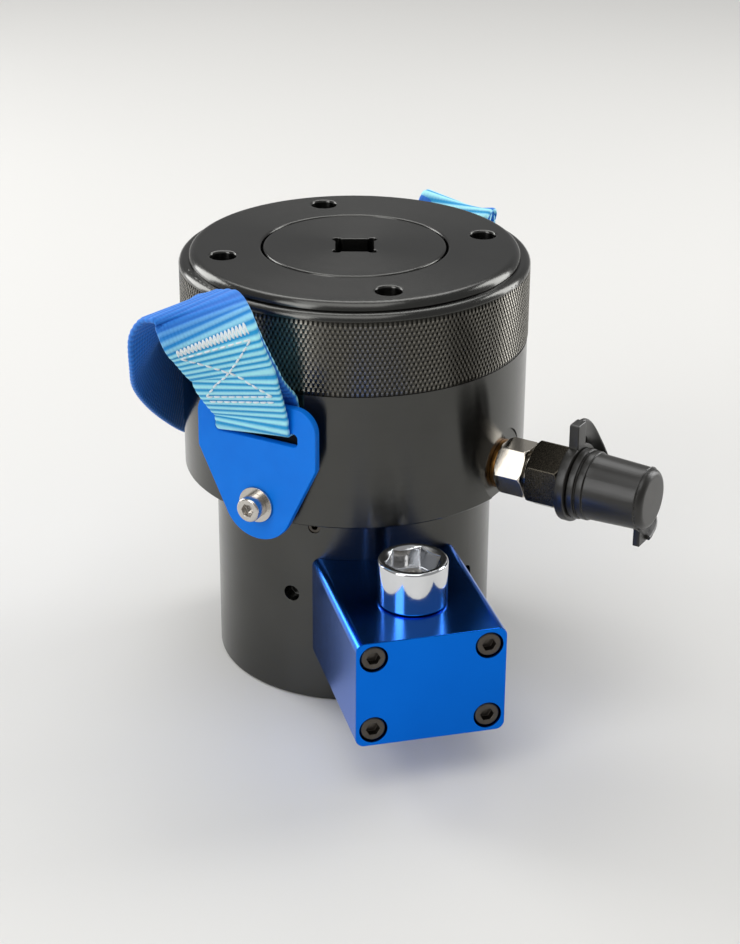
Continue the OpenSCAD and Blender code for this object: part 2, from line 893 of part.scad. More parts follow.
// Places children at the four gearbox screws, with their Z pointing out of the gearbox's front
module box_screw_places() {
    for (x = [-box_screw_x, box_screw_x])
        for (z = [-box_screw_z, box_screw_z])
            translate([x, 0, box_mid_z + z])
                rotate([90, 0, 0])
                    children();
}

module cover_screw_places() {
    for (x = [-cover_screw_x, cover_screw_x])
        for (y = cover_screw_ys)
            translate([x, -y, box_z])
                children();
}

module cover_outline(grow) {
    difference() {
        translate([-cover_half_w - grow, -cover_front - grow])
            square([2 * (cover_half_w + grow), cover_front]);
        circle(r = bridge_r + gap - grow);
    }
}

module gearbox_housing() {
    color(blue_anodised)
    difference() {
        translate([0, 0, box_mid_z])
            rotate([90, 0, 0])
                linear_extrude(box_front)
                    rounded(box_w, box_h, box_corner_r);
        post(bridge_r + press, box_z - over, box_top + over);
        translate([0, 0, box_z - over])
            linear_extrude(cover_t + over)
                cover_outline(fit);
        for (y = [idler_y, drive_y])
            translate([0, -y, 0])
                post(pocket_r, box_z, pocket_top);
        translate([0, -idler_y, 0])
            post(pin_r + press, pocket_top - over, pin_top + gap);
        translate([0, -drive_y, 0])
            post(seat_r + run + upper_bush_wall + press, pocket_top - over, box_top + over);
        box_screw_places() {
            post(m5_d / 2 + fit, 0, box_front);
            post(m5_head_d / 2 + gap, box_screw_seat, box_front + over);
        }
        cover_screw_places()
            post(cover_screw_d / 2 + fit, 0, cover_screw_l + 2 * gap);
    }
}

module gearbox_cover() {
    color(blue_anodised)
    difference() {
        union() {
            translate([0, 0, box_z])
                linear_extrude(cover_t)
                    cover_outline(0);
            for (y = [idler_y, drive_y])
                translate([0, -y, 0])
                    post(boss_r, box_z + over, boss_top);
        }
        post(bridge_r + gap, box_z - over, boss_top + over);
        translate([0, -idler_y, 0])
            post(pin_r + press, box_z + pin_seat, boss_top + over);
        translate([0, -drive_y, 0])
            post(journal_r + run + bush_wall + press, cover_top, boss_top + over);
        cover_screw_places()
            countersunk(cover_screw_d / 2 + fit);
    }
}

// Countersunk screw shape, head down
module countersunk(r) {
    rotate_extrude()
        polygon([[0, 0], [2 * r, 0], [r, r], [r, cover_screw_l], [0, cover_screw_l]]);
}

module cover_screws() {
    color(spring_steel)
    cover_screw_places()
        difference() {
            countersunk(cover_screw_d / 2);
            hex(cover_key_af, -over, cover_screw_d / 2);
        }
}

module gearbox_screws() {
    color(spring_steel)
    box_screw_places()
        translate([0, 0, box_screw_seat])
            socket_screw_shape(box_screw_seat - box_screw_end);
}

// Round seat of the drive gear with one flat
module gear_seat(r, flat) {
    intersection() {
        circle(r = r);
        translate([-2 * r, -flat])
            square([4 * r, 4 * r]);
    }
}

module drive_shaft() {
    color(bright_steel)
    translate([0, -drive_y, 0])
        difference() {
            union() {
                rotate_extrude()
                    union() {
                        band(0, journal_r, shaft_z, gear_z + over);
                        band(0, seat_r, gear_z, shaft_top);
                    }
                hex(shaft_end_af, shaft_top - over, shaft_top + shaft_end_h);
            }
            translate([-seat_r, -seat_flat - seat_r, gear_z - over])
                cube([2 * seat_r, seat_r, gear_w + over]);
            post(socket_screw_d / 2 + press, socket_floor - socket_screw_l, shaft_top + shaft_end_h + over);
        }
}

module drive_gear() {
    color(bright_steel)
    translate([0, -drive_y, 0])
        difference() {
            gear(pinion_teeth, 90);
            translate([0, 0, gear_z - over])
                linear_extrude(gear_w + 2 * over)
                    gear_seat(seat_r + press, seat_flat + press);
        }
}

module upper_bush() {
    color(bronze)
    translate([0, -drive_y, 0])
        tube(seat_r + run, seat_r + run + upper_bush_wall, pocket_top, box_top);
}

module lower_bush() {
    color(bronze)
    translate([0, -drive_y, 0])
        tube(journal_r + run, journal_r + run + bush_wall, cover_top, boss_top);
}

module idler_gear() {
    color(bright_steel)
    translate([0, -idler_y, 0])
        difference() {
            gear(pinion_teeth, 90 + 180 / pinion_teeth);
            post(pin_r + run + bush_wall + press, gear_z - over, gear_top + over);
        }
}

module idler_bush() {
    color(bronze)
    translate([0, -idler_y, 0])
        tube(pin_r + run, pin_r + run + bush_wall, gear_z - gap, gear_top + gap);
}

module idler_pin() {
    color(bright_steel)
    translate([0, -idler_y, 0])
        post(pin_r, box_z + pin_seat, pin_top);
}

module drive_socket() {
    color(bright_steel)
    translate([0, -drive_y, 0])
        difference() {
            rotate_extrude()
                difference() {
                    band(0, socket_d / 2, socket_z, socket_top);
                    round_cut(socket_d / 2, socket_top, socket_lead);
                    chamfer_cut(socket_d / 2, socket_z, edge, 1, -1);
                    polygon([
                        [0, socket_top + over], [0, socket_top - socket_lead],
                        [socket_af / 2, socket_top - socket_lead],
                        [socket_af / sqrt(3) + edge, socket_top + press],
                        [socket_af / sqrt(3) + edge, socket_top + over]
                    ]);
                }
            hex(socket_af, socket_floor, socket_top + over);
            hex(shaft_end_af + 2 * fit, socket_z - over, socket_z + shaft_end_h + fit);
            post(socket_screw_d / 2 + fit, socket_z, socket_floor + over);
        }
}

module socket_screw() {
    color(bright_steel)
    translate([0, -drive_y, 0])
        difference() {
            union() {
                post(socket_screw_d / 2, socket_floor - socket_screw_l + gap, socket_floor);
                post(socket_screw_head_d / 2, socket_floor, socket_floor + socket_screw_head_h);
            }
            hex(socket_key_af, socket_floor + edge, socket_floor + socket_screw_head_h + over);
        }
}

// Lugs and strap

// Outline of a lug with its screw at the origin
module lug_outline() {
    half = lug_w / 2;
    reach = norm([half, lug_taper_h]);
    touch = atan2(lug_taper_h, half) - acos(lug_foot_r / reach);
    touch_x = lug_foot_r * cos(touch);
    touch_y = lug_foot_r * sin(touch);
    side_top = lug_h - lug_corner_r;
    circle(r = lug_foot_r);
    polygon([
        [touch_x, touch_y], [half, lug_taper_h], [half, side_top],
        [-half, side_top], [-half, lug_taper_h], [-touch_x, touch_y]
    ]);
    translate([lug_corner_r - half, lug_taper_h])
        square([lug_w - 2 * lug_corner_r, lug_h - lug_taper_h]);
    for (x = [lug_corner_r - half, half - lug_corner_r])
        translate([x, side_top])
            circle(r = lug_corner_r);
}

module slot_outline() {
    translate([0, slot_top - slot_h / 2])
        rounded(slot_l, slot_h, slot_corner_r);
}

module lug(turn) {
    color(blue_paint)
    radial(turn, lug_z)
        translate([0, 0, lug_in_r])
            linear_extrude(lug_t)
                difference() {
                    lug_outline();
                    slot_outline();
                    circle(r = lug_boss_r + run);
                }
}

module lug_front() {
    lug(lug_turn);
}

module lug_back() {
    lug(back_turn);
}

module at_lugs() {
    for (turn = [lug_turn, back_turn])
        radial(turn, lug_z)
            children();
}

module lug_bushes() {
    color(bright_steel)
    at_lugs()
        difference() {
            union() {
                post(lug_flange_r, lug_spot_r, lug_seat_r);
                post(lug_boss_r, lug_spot_r, lug_boss_end);
            }
            post(m5_d / 2 + fit, lug_spot_r - over, lug_boss_end + over);
        }
}

module lug_washers() {
    color(bright_steel)
    at_lugs()
        tube(m5_d / 2 + fit, lug_washer_d / 2, lug_boss_end, lug_washer_end);
}

module lug_screws() {
    color(bright_steel)
    at_lugs()
        translate([0, 0, lug_washer_end])
            socket_screw_shape(lug_washer_end - lug_spot_r + lug_screw_grip);
}

// Side view of a strap end, out along the lug's axis and up
module strap_end_section() {
    top_mid = loop_mid_r + strap_lean;
    difference() {
        union() {
            translate([loop_mid_r, loop_z])
                circle(r = loop_out_r, $fn = 48);
            polygon([
                [loop_mid_r - loop_out_r, loop_z], [loop_mid_r + loop_out_r, loop_z],
                [loop_mid_r + loop_out_r, loop_z + loop_rise], [top_mid + strap_t, strap_end_z],
                [top_mid - strap_t, strap_end_z], [loop_mid_r - loop_out_r, loop_straight_z]
            ]);
        }
        translate([loop_mid_r, loop_z])
            circle(r = loop_in_r, $fn = 48);
        polygon([
            [loop_mid_r - loop_in_r, loop_z], [loop_mid_r + loop_in_r, loop_z],
            [loop_mid_r + loop_in_r, loop_z + loop_rise], [top_mid, strap_end_z - over],
            [loop_mid_r - loop_in_r, loop_straight_z - over]
        ]);
    }
}

module strap_end(turn) {
    color(blue_webbing)
    rotate([0, 0, turn - 90])
        rotate([90, 0, 0])
            linear_extrude(strap_w, center = true)
                strap_end_section();
}

module strap_front_end() {
    strap_end(lug_turn);
}

module strap_back_end() {
    strap_end(back_turn);
}

// Stations from the front end over the middle to the back end, in the front lug's frame
function from_end(route) =
    [for (s = route) [
        loop_mid_r + strap_lean + s[0] * strap_spread, s[1] * strap_spread, strap_start + s[2],
        s[3], s[4], s[5]
    ]];
function mirrored(s) = [-s[0], s[1], s[2], -s[3], s[4], s[5]];

module strap() {
    front = from_end(strap_front_route);
    back = from_end(strap_back_route);
    stations = concat(front, [for (i = [len(back) - 1:-1:0]) mirrored(back[i])]);
    color(blue_webbing)
    rotate([0, 0, lug_turn - 90])
        mirror([0, 1, 0])
            skin(band_rings(fine(stations, strap_steps), strap_w, strap_t));
}

// Hose coupler

module port_washer() {
    color(copper)
    radial(port_turn, port_z)
        tube(washer_hole_d / 2, port_washer_d / 2, port_spot_r, adaptor_r);
}

module port_adaptor() {
    color(bright_steel)
    radial(port_turn, port_z)
        difference() {
            union() {
                post(port_thread_d / 2, port_spot_r - port_thread_l, adaptor_r + over);
                hex_bar(adaptor_af, adaptor_r, adaptor_end, hex_chamfer);
                post(neck_d / 2, adaptor_end - over, coupler_r);
                post(joint_d / 2, adaptor_end, coupler_r + joint_l);
            }
            post(port_drill_d / 2, port_spot_r - port_thread_l - over, coupler_r + joint_l + over);
        }
}

module coupler_body() {
    color(black_steel)
    radial(port_turn, port_z)
        difference() {
            union() {
                rotate([0, 0, 30])
                    hex_bar(coupler_af, coupler_r, coupler_end, hex_chamfer);
                rotate_extrude()
                    difference() {
                        band(0, nose_d / 2, coupler_end - over, nose_end);
                        chamfer_cut(nose_d / 2, nose_end, edge, 1, 1);
                    }
            }
            post(joint_d / 2 + fit, coupler_r - over, coupler_r + joint_l + gap);
            post(port_drill_d / 2, coupler_r, nose_end);
            post(valve_bore_d / 2, nose_end - valve_bore_l, nose_end + over);
        }
}

module coupler_valve() {
    color(bright_steel)
    radial(port_turn, port_z) {
        post(valve_bore_d / 2 - run, valve_z, valve_z + valve_head_l);
        post(valve_stem_d / 2 - run, valve_z - valve_travel, valve_z + over);
    }
}

module valve_spring() {
    color(spring_steel)
    radial(port_turn, port_z)
        skin(coil_rings((valve_bore_d - valve_spring_wire) / 2 - gap, valve_spring_wire / 2,
            nose_end - valve_bore_l + press, valve_z - press, valve_spring_turns));
}

module dust_cap() {
    color(rubber)
    radial(port_turn, port_z) {
        rotate_extrude()
            difference() {
                union() {
                    polygon([
                        [0, dust_cap_z], [dust_cap_d / 2, dust_cap_z],
                        [dust_cap_end_d / 2, dust_cap_end], [0, dust_cap_end]
                    ]);
                    for (i = [0, 1])
                        band(nose_d / 2, dust_cap_d / 2 + bead_h * (1 - i / 2),
                            dust_cap_z + i * bead_w, dust_cap_z + (i + 1) * bead_w - bead_gap);
                }
                band(-over, dust_cap_bore_r, dust_cap_z - over, dust_cap_floor);
                round_cut(dust_cap_end_d / 2, dust_cap_end, dust_cap_round);
            }
        translate([-dust_tab_w / 2, -dust_tab_reach, dust_tab_z])
            cube([dust_tab_w, dust_tab_h + over, dust_tab_t]);
    }
}

module tether_ring() {
    color(rubber)
    radial(port_turn, port_z)
        translate([0, 0, tether_ring_z])
            linear_extrude(tether_ring_t)
                difference() {
                    union() {
                        circle(r = tether_ring_d / 2);
                        translate([-tether_w / 2, 0])
                            square([tether_w, tether_tip_y]);
                    }
                    circle(r = dust_cap_bore_r);
                }
}

module tether() {
    stations = [for (s = tether_route) s + [tether_w / 2 + gap, 0, tether_ring_z, 0, 0, 0]];
    color(rubber)
    radial(port_turn, port_z)
        skin(band_rings(fine(stations, strap_steps), tether_w, tether_t));
}

cylinder_body();
cylinder_cap();
piston();
piston_seal();
piston_backup_ring();
piston_guide_ring();
neck_seal();
puller();
puller_retaining_ring();
return_springs();
bridge();
bridge_grub_screws();
nut_rotator();
rotator_gear();
rotator_retaining_ring();
gearbox_housing();
gearbox_cover();
gearbox_screws();
cover_screws();
drive_shaft();
drive_gear();
upper_bush();
lower_bush();
idler_gear();
idler_bush();
idler_pin();
drive_socket();
socket_screw();
lug_front();
lug_back();
lug_bushes();
lug_washers();
lug_screws();
strap();
strap_front_end();
strap_back_end();
port_washer();
port_adaptor();
coupler_body();
coupler_valve();
valve_spring();
dust_cap();
tether_ring();
tether();
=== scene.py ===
"""Hydraulic bolt tensioner: finishes, broken edges, knurl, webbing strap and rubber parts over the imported
frame."""
import json
import math

import bpy
from mathutils import Matrix, Vector


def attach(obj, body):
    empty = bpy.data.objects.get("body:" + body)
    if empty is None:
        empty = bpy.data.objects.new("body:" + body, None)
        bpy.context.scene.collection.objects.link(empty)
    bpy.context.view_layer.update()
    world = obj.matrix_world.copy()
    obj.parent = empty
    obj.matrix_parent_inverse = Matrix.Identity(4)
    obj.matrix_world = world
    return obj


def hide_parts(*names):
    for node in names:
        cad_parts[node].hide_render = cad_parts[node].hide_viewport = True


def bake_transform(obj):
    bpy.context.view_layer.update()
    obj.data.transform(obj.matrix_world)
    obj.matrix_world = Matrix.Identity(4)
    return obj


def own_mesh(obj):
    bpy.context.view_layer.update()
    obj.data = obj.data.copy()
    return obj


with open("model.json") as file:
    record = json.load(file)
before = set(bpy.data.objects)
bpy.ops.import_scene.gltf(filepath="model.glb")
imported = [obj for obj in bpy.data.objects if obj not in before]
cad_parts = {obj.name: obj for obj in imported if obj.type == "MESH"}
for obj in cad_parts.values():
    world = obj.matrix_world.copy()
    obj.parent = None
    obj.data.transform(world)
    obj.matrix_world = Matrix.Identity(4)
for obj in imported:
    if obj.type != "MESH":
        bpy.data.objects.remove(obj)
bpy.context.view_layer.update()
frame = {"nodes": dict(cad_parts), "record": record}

MM = 0.001
scene = bpy.context.scene


# Materials

# Sockets of the colour mix by number, since several share a name
MIX_FACTOR, MIX_A, MIX_B, MIX_RESULT = 0, 6, 7, 2
# Turned steel: how far its gloss is drawn out, and the quarter turn that draws it across the tool marks
TURNED_GLOSS = 0.85
TURNED_GLOSS_TURN = 0.25
# The middle range of a noise, where nearly all its values lie
NOISE_RANGE = (0.3, 0.7)


def linear(code):
    """sRGB hex to linear RGBA."""
    channels = [int(code[i:i + 2], 16) / 255 for i in (1, 3, 5)]
    return [c / 12.92 if c <= 0.04045 else ((c + 0.055) / 1.055) ** 2.4 for c in channels] + [1]


def add(material, kind, inputs=None, **settings):
    """Adds one node: its settings, then its sockets, each given a value or another node's output."""
    node = material.node_tree.nodes.new(kind)
    for name, value in settings.items():
        setattr(node, name, value)
    for name, value in (inputs or {}).items():
        if isinstance(value, bpy.types.NodeSocket):
            material.node_tree.links.new(value, node.inputs[name])
        else:
            node.inputs[name].default_value = value
    return node


def new_material(name, **sockets):
    """A material whose shader has these constants on its own sockets."""
    material = bpy.data.materials.new(name)
    material.use_nodes = True
    shader = material.node_tree.nodes["Principled BSDF"]
    for socket, value in sockets.items():
        shader.inputs[socket.replace("_", " ")].default_value = value
    return material, shader


def connect(material, output, shader, socket):
    material.node_tree.links.new(output, shader.inputs[socket])


def object_place(material):
    return add(material, "ShaderNodeTexCoord").outputs["Object"]


def axis_distance(material, place):
    """Distance from the part's axis."""
    flat = add(material, "ShaderNodeVectorMath", {0: place, 1: (1, 1, 0)}, operation="MULTIPLY")
    length = add(material, "ShaderNodeVectorMath", {0: flat.outputs["Vector"]}, operation="LENGTH")
    return length.outputs["Value"]


def noise(material, place, width_mm, detail):
    """Noise whose clouds are about this wide."""
    settings = {"Vector": place, "Scale": 1 / (width_mm * MM), "Detail": detail}
    return add(material, "ShaderNodeTexNoise", settings).outputs["Fac"]


def mapped(material, value, to=(0.0, 1.0), source=(0.0, 1.0)):
    """A value moved from one range to another."""
    settings = {
        "Value": value, "From Min": source[0], "From Max": source[1], "To Min": to[0], "To Max": to[1]}
    return add(material, "ShaderNodeMapRange", settings).outputs["Result"]


def mixed(material, factor, first, second):
    """A colour between two colours."""
    settings = {MIX_FACTOR: factor, MIX_A: first, MIX_B: second}
    return add(material, "ShaderNodeMix", settings, data_type="RGBA").outputs[MIX_RESULT]


def tint(material, shader, factor, dark, light):
    """Base colour between two sRGB hex colours."""
    connect(material, mixed(material, factor, linear(dark), linear(light)), shader, "Base Color")


def emboss(material, shader, height, strength, depth_mm):
    """Fine relief in the shading alone."""
    bump = add(material, "ShaderNodeBump", {
        "Height": height, "Strength": strength, "Distance": depth_mm * MM})
    connect(material, bump.outputs["Normal"], shader, "Normal")


def machined(name, dark, light, roughness, blotch_mm, mark_mm, mark_depth_mm, turned=False):
    """Machined metal: blotches of tone, and fine tool marks that break up the gloss.
    On a turned piece the marks run round the axis and draw the gloss out across them, otherwise they are
    an even grain."""
    material, shader = new_material(name, Metallic=1.0)
    place = object_place(material)
    tint(material, shader, noise(material, place, blotch_mm, 4.0), dark, light)
    if turned:
        radius = axis_distance(material, place)
        height = add(material, "ShaderNodeSeparateXYZ", {"Vector": place}).outputs["Z"]
        around = add(material, "ShaderNodeVectorMath", {0: (0, 0, 1), 1: place}, operation="CROSS_PRODUCT")
        in_space = add(material, "ShaderNodeVectorTransform", {"Vector": around.outputs["Vector"]},
                       vector_type="VECTOR", convert_from="OBJECT", convert_to="WORLD")
        connect(material, in_space.outputs["Vector"], shader, "Tangent")
        shader.inputs["Anisotropic"].default_value = TURNED_GLOSS
        shader.inputs["Anisotropic Rotation"].default_value = TURNED_GLOSS_TURN
        place = add(material, "ShaderNodeCombineXYZ", {"X": radius, "Z": height}).outputs["Vector"]
    marks = noise(material, place, mark_mm, 3.0)
    connect(material, mapped(material, marks, roughness, NOISE_RANGE), shader, "Roughness")
    emboss(material, shader, marks, 0.5, mark_depth_mm)
    return material


def knurl_oxide_with_painted_glint_and_shade():
    """The same black oxide, rubbed to bare brownish steel on the knurl's points by hands, with a painted
    glint there; the grooves are painted far darker than the body's oxide as painted shade.
    """
    material, shader = new_material("knurl_oxide_wear_and_painted_shade", Metallic=1.0)
    place = object_place(material)
    radius = axis_distance(material, place)
    # Painted light: lighter towards the points, as wear and a painted glint; darker in the grooves than the
    # body's oxide, a painted shade
    point = mapped(material, radius, source=(KNURL_ROOT * MM, KNURL_R * MM))
    tint(material, shader, point, "#151514", "#86837b")
    wear_and_painted_light = noise(material, place, 4, 3.0)
    connect(material, mapped(material, wear_and_painted_light, (0.2, 0.34)), shader, "Roughness")
    return material


def gloss_paint():
    """Powder coat on the lugs: even blue under a clear gloss, with a faint orange peel about 1.5 mm wide."""
    material, shader = new_material(
        "blue_powder_coat", Roughness=0.36, Specular_IOR_Level=0.14, Coat_Weight=0.08, Coat_Roughness=0.12)
    place = object_place(material)
    tint(material, shader, noise(material, place, 9, 2.0), "#0573e2", "#087fef")
    emboss(material, shader, noise(material, place, 1.5, 1.0), 0.25, 0.03)
    return material


def woven_polyester():
    """Ribbed polyester webbing: deep blue, lighter where a rib stands up, which is a painted highlight, yarns
    about 0.6 mm wide along it.
    The sewn ends are painted a pale cyan on the ribs, a painted light where a lamp falls on them."""
    material, shader = new_material(
        "blue_polyester_webbing", Roughness=0.66, Sheen_Weight=0.12, Sheen_Roughness=0.4)
    rib = add(material, "ShaderNodeAttribute", attribute_name="rib").outputs["Fac"]
    painted_light = add(material, "ShaderNodeAttribute", attribute_name="painted_light").outputs["Fac"]
    strap = add(material, "ShaderNodeUVMap", uv_map="UVMap").outputs["UV"]
    yarn = add(material, "ShaderNodeTexWave", {
        "Vector": strap, "Scale": 1 / (3.8 * MM), "Distortion": 0.6, "Detail": 1.0, "Detail Scale": 2.0},
        wave_type="BANDS", bands_direction="X")
    fray = noise(material, strap, 0.9, 3.0)
    # Painted highlight: lighter where a rib stands up, broken up by a noise
    ridge = mapped(material, rib, source=(0.35, 0.95))
    patchy_ridge_highlight = add(material, "ShaderNodeMath", {0: ridge, 1: fray}, operation="MULTIPLY").outputs[0]
    blue_with_painted_ridge_highlight = mixed(material, patchy_ridge_highlight, linear("#0d6acb"), linear("#218bea"))
    # Painted light: the sewn ends, where a lamp falls on them, pale cyan on the ribs
    painted_lit_blue = mixed(material, ridge, linear("#129ad8"), linear("#a8effc"))
    connect(material, mixed(material, painted_light, blue_with_painted_ridge_highlight, painted_lit_blue), shader, "Base Color")
    height = add(material, "ShaderNodeMath", {0: yarn.outputs["Fac"], 1: fray}, operation="ADD").outputs[0]
    emboss(material, shader, height, 0.6, 0.12)
    return material


def sewing_thread():
    """White bonded polyester thread: matt, twisted about every 0.8 mm, a little soiled."""
    material, shader = new_material("white_sewing_thread", Roughness=0.55, Sheen_Weight=0.2)
    place = object_place(material)
    tint(material, shader, noise(material, place, 3, 2.0), "#dbe8ee", "#f7f9f9")
    twist = add(material, "ShaderNodeTexWave", {"Vector": place, "Scale": 1 / (2.5 * MM)},
                bands_direction="DIAGONAL")
    emboss(material, shader, twist.outputs["Fac"], 0.5, 0.08)
    return material


def moulded(name, dark, light, roughness, grain_mm):
    """Moulded rubber or plastic: nearly even colour, a soft gloss and a fine mould grain with a bloom of
    dust."""
    material, shader = new_material(name)
    place = object_place(material)
    bloom = noise(material, place, 7, 4.0)
    tint(material, shader, bloom, dark, light)
    connect(material, mapped(material, bloom, roughness), shader, "Roughness")
    emboss(material, shader, noise(material, place, grain_mm, 2.0), 0.3, 0.05)
    return material


# The knurl's radii and heights in the part, in millimetres
KNURL_R = 60.0
KNURL_ROOT = 59.5
KNURL_Z = 119.9
KNURL_TOP = 145.9

MATERIALS = {
    # Black oxide on turned steel: an oiled, dark grey skin, its blurred gloss drawn out across the tool marks
    "black_steel": machined(
        "black_oxide_steel", "#4c4c4a", "#565654", (0.2, 0.25), 18, 0.4, 0.0006, turned=True),
    # Ground steel of the parts inside: bare grey metal with a fine grain
    "hidden_steel": machined("ground_steel", "#85837f", "#9b9995", (0.28, 0.42), 10, 0.4, 0.006),
    # Oil-tempered spring steel: grey-brown and satin
    "spring_steel": machined("spring_wire", "#5d5a54", "#77736b", (0.3, 0.42), 3, 0.4, 0.006),
    # Blackened socket screws: satin brown-grey heads
    "screw_dark": machined("black_screw_steel", "#4c4844", "#5f5a54", (0.26, 0.4), 2.5, 0.4, 0.006),
    # Stainless screws, washers and bushes: pale and clean with a light satin
    "screw_bright": machined("stainless_steel", "#bdb9b3", "#d6d2cc", (0.16, 0.28), 4, 0.4, 0.005),
    # Polished chrome plate: nearly a mirror
    "chrome": machined("chrome_plate", "#d9dbde", "#e9eaec", (0.07, 0.12), 8, 0.8, 0.002),
    # Nickel plate on the adaptor and the valve: warm bright metal with a soft gloss
    "nickel": machined("nickel_plate", "#c6beb2", "#dcd5c9", (0.12, 0.2), 5, 0.5, 0.004),
    # Soft copper sealing washer: orange metal, tarnished brown in places
    "copper": machined("copper", "#7d5329", "#a67a42", (0.25, 0.4), 2, 0.4, 0.006),
    # Bronze bushes and guide ring: dull gold-brown
    "bronze": machined("bronze", "#8a6a3c", "#a8854f", (0.3, 0.42), 4, 0.4, 0.006),
    # Blue anodised aluminium: dyed oxide over milled metal, deep colour with a clear gloss
    "blue_anodised": machined(
        "blue_anodised_aluminium", "#0b69d9", "#0d73e6", (0.16, 0.25), 25, 0.35, 0.003),
    "blue_paint": gloss_paint(),
    "webbing": woven_polyester(),
    # Black moulded rubber: dark warm grey, half matt
    "rubber": moulded("black_rubber", "#1c1b19", "#2a2926", (0.26, 0.38), 0.5),
    # Natural nylon backup ring: off-white, half matt
    "nylon": moulded("nylon", "#c9c4b4", "#dbd6c8", (0.4, 0.5), 0.6),
}
KNURL_STEEL_PAINTED_SHADE = knurl_oxide_with_painted_glint_and_shade()
# The coupler is milled and not turned round the part's axis: the same black oxide with an even grain
COUPLER_STEEL = machined("black_oxide_coupler", "#3d3a34", "#514c43", (0.2, 0.32), 6, 0.5, 0.002)
THREAD = sewing_thread()
SLOT_OF = {part["node"]: part["material_slot"] for part in frame["record"]["subparts"]}
BODY_OF = {node: body for body, nodes in frame["record"]["behaviour"]["bodies"].items() for node in nodes}


# Modelling

def only(obj):
    """Makes obj the one selected, active object."""
    bpy.ops.object.select_all(action="DESELECT")
    obj.select_set(True)
    bpy.context.view_layer.objects.active = obj


def placed(name, mesh):
    """A new object of this mesh, selected and active."""
    obj = bpy.data.objects.new(name, mesh)
    scene.collection.objects.link(obj)
    only(obj)
    return obj


def modify(obj, kind, **settings):
    """Adds a modifier and applies it."""
    modifier = obj.modifiers.new(kind, kind)
    for name, value in settings.items():
        setattr(modifier, name, value)
    only(obj)
    bpy.ops.object.modifier_apply(modifier=modifier.name)


def turn_outward():
    """Turns the active object's faces outwards."""
    bpy.ops.object.mode_set(mode="EDIT")
    bpy.ops.mesh.select_all(action="SELECT")
    bpy.ops.mesh.normals_make_consistent(inside=False)
    bpy.ops.object.mode_set(mode="OBJECT")


def dress(obj, material):
    obj.data.materials.clear()
    obj.data.materials.append(material)


# Broken edges: what counts as one point, one flat, a sharp edge and a smooth one, and the bevel's facets
WELD = 0.002 * MM
FLAT = math.radians(0.6)
SHARP = math.radians(30)
SMOOTH = math.radians(42)
BEVEL_FACETS = 2

# Width of each node's broken edges, in millimetres
EDGE_MM = {
    "cylinder_cap": 0.45, "puller": 0.45, "bridge": 0.35, "nut_rotator": 0.3,
    "gearbox_housing": 0.45, "gearbox_screws": 0.2, "gearbox_cover": 0.3,
    "drive_socket": 0.25, "socket_screw": 0.2,
    "lug_front": 0.6, "lug_back": 0.6, "lug_washers": 0.15, "lug_screws": 0.25,
    "port_washer": 0.2, "port_adaptor": 0.25, "coupler_body": 0.35, "coupler_valve": 0.2,
    "dust_cap": 0.4, "tether_ring": 0.6,
}

# Flats with a notch or an opening are split again before their edges are broken, so that no face spans
# the opening
SPLIT_FLATS = ("dust_cap", "tether_ring")
HOUSING_SPLIT = (0, -60.0 * MM, 0)

# The square drive's corners are drilled out before it is broached
SQUARE_HALF = 6.5
SQUARE_TURN = math.radians(-14)
SQUARE_CORNERS = 4
DRILL_R = 1.5
DRILL_IN = 0.4
DRILL_L = 18.0
DRILL_Z = 142.5
DRILL_FACETS = 24


def corner_drills():
    """The drill that clears the square's corners, once at each corner; each is used as a cutter."""
    bpy.ops.object.select_all(action="DESELECT")
    bpy.ops.mesh.primitive_cylinder_add(vertices=DRILL_FACETS, radius=DRILL_R * MM, depth=DRILL_L * MM)
    drills = [bpy.context.object]
    for _ in range(SQUARE_CORNERS - 1):
        only(drills[0])
        bpy.ops.object.duplicate()
        drills.append(bpy.context.object)
    reach = (SQUARE_HALF - DRILL_IN) * math.sqrt(2)
    for i, drill in enumerate(drills):
        angle = SQUARE_TURN + math.radians(45 + 90 * i)
        drill.location = Vector((reach * math.cos(angle), reach * math.sin(angle), DRILL_Z)) * MM
    return drills


def eased(node, edge_mm, cutters=()):
    """A CAD node's solid with its edges broken, as it leaves the machine; it stands for that node."""
    obj = placed(node + "_eased", frame["nodes"][node].data.copy())
    bpy.ops.mesh.customdata_custom_splitnormals_clear()
    bpy.ops.object.mode_set(mode="EDIT")
    bpy.ops.mesh.select_all(action="SELECT")
    bpy.ops.mesh.remove_doubles(threshold=WELD)
    bpy.ops.mesh.dissolve_limited(angle_limit=FLAT)
    if node in SPLIT_FLATS:
        bpy.ops.mesh.quads_convert_to_tris(ngon_method="CLIP")
    if node == "gearbox_housing":
        bpy.ops.mesh.bisect(plane_co=HOUSING_SPLIT, plane_no=(0, 1, 0))
    bpy.ops.object.mode_set(mode="OBJECT")
    for cutter in cutters:
        modify(obj, "BOOLEAN", operation="DIFFERENCE", solver="EXACT", object=cutter)
        bpy.data.objects.remove(cutter)
    modify(obj, "BEVEL", width=edge_mm * MM, segments=BEVEL_FACETS, limit_method="ANGLE",
           angle_limit=SHARP, use_clamp_overlap=False)
    only(obj)
    bpy.ops.object.shade_smooth_by_angle(angle=SMOOTH)
    modify(obj, "WEIGHTED_NORMAL", keep_sharp=True)
    dress(obj, COUPLER_STEEL if node == "coupler_body" else MATERIALS[SLOT_OF[node]])
    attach(obj, BODY_OF[node])
    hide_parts(node)


for node, edge_mm in EDGE_MM.items():
    eased(node, edge_mm, cutters=corner_drills() if node == "puller" else ())


# Knurl: points in a row round the band, rows up it, and how far its grooves stay clear of the solid below
KNURL_POINTS = 236
KNURL_ROWS = 17
KNURL_CLEAR = 0.03


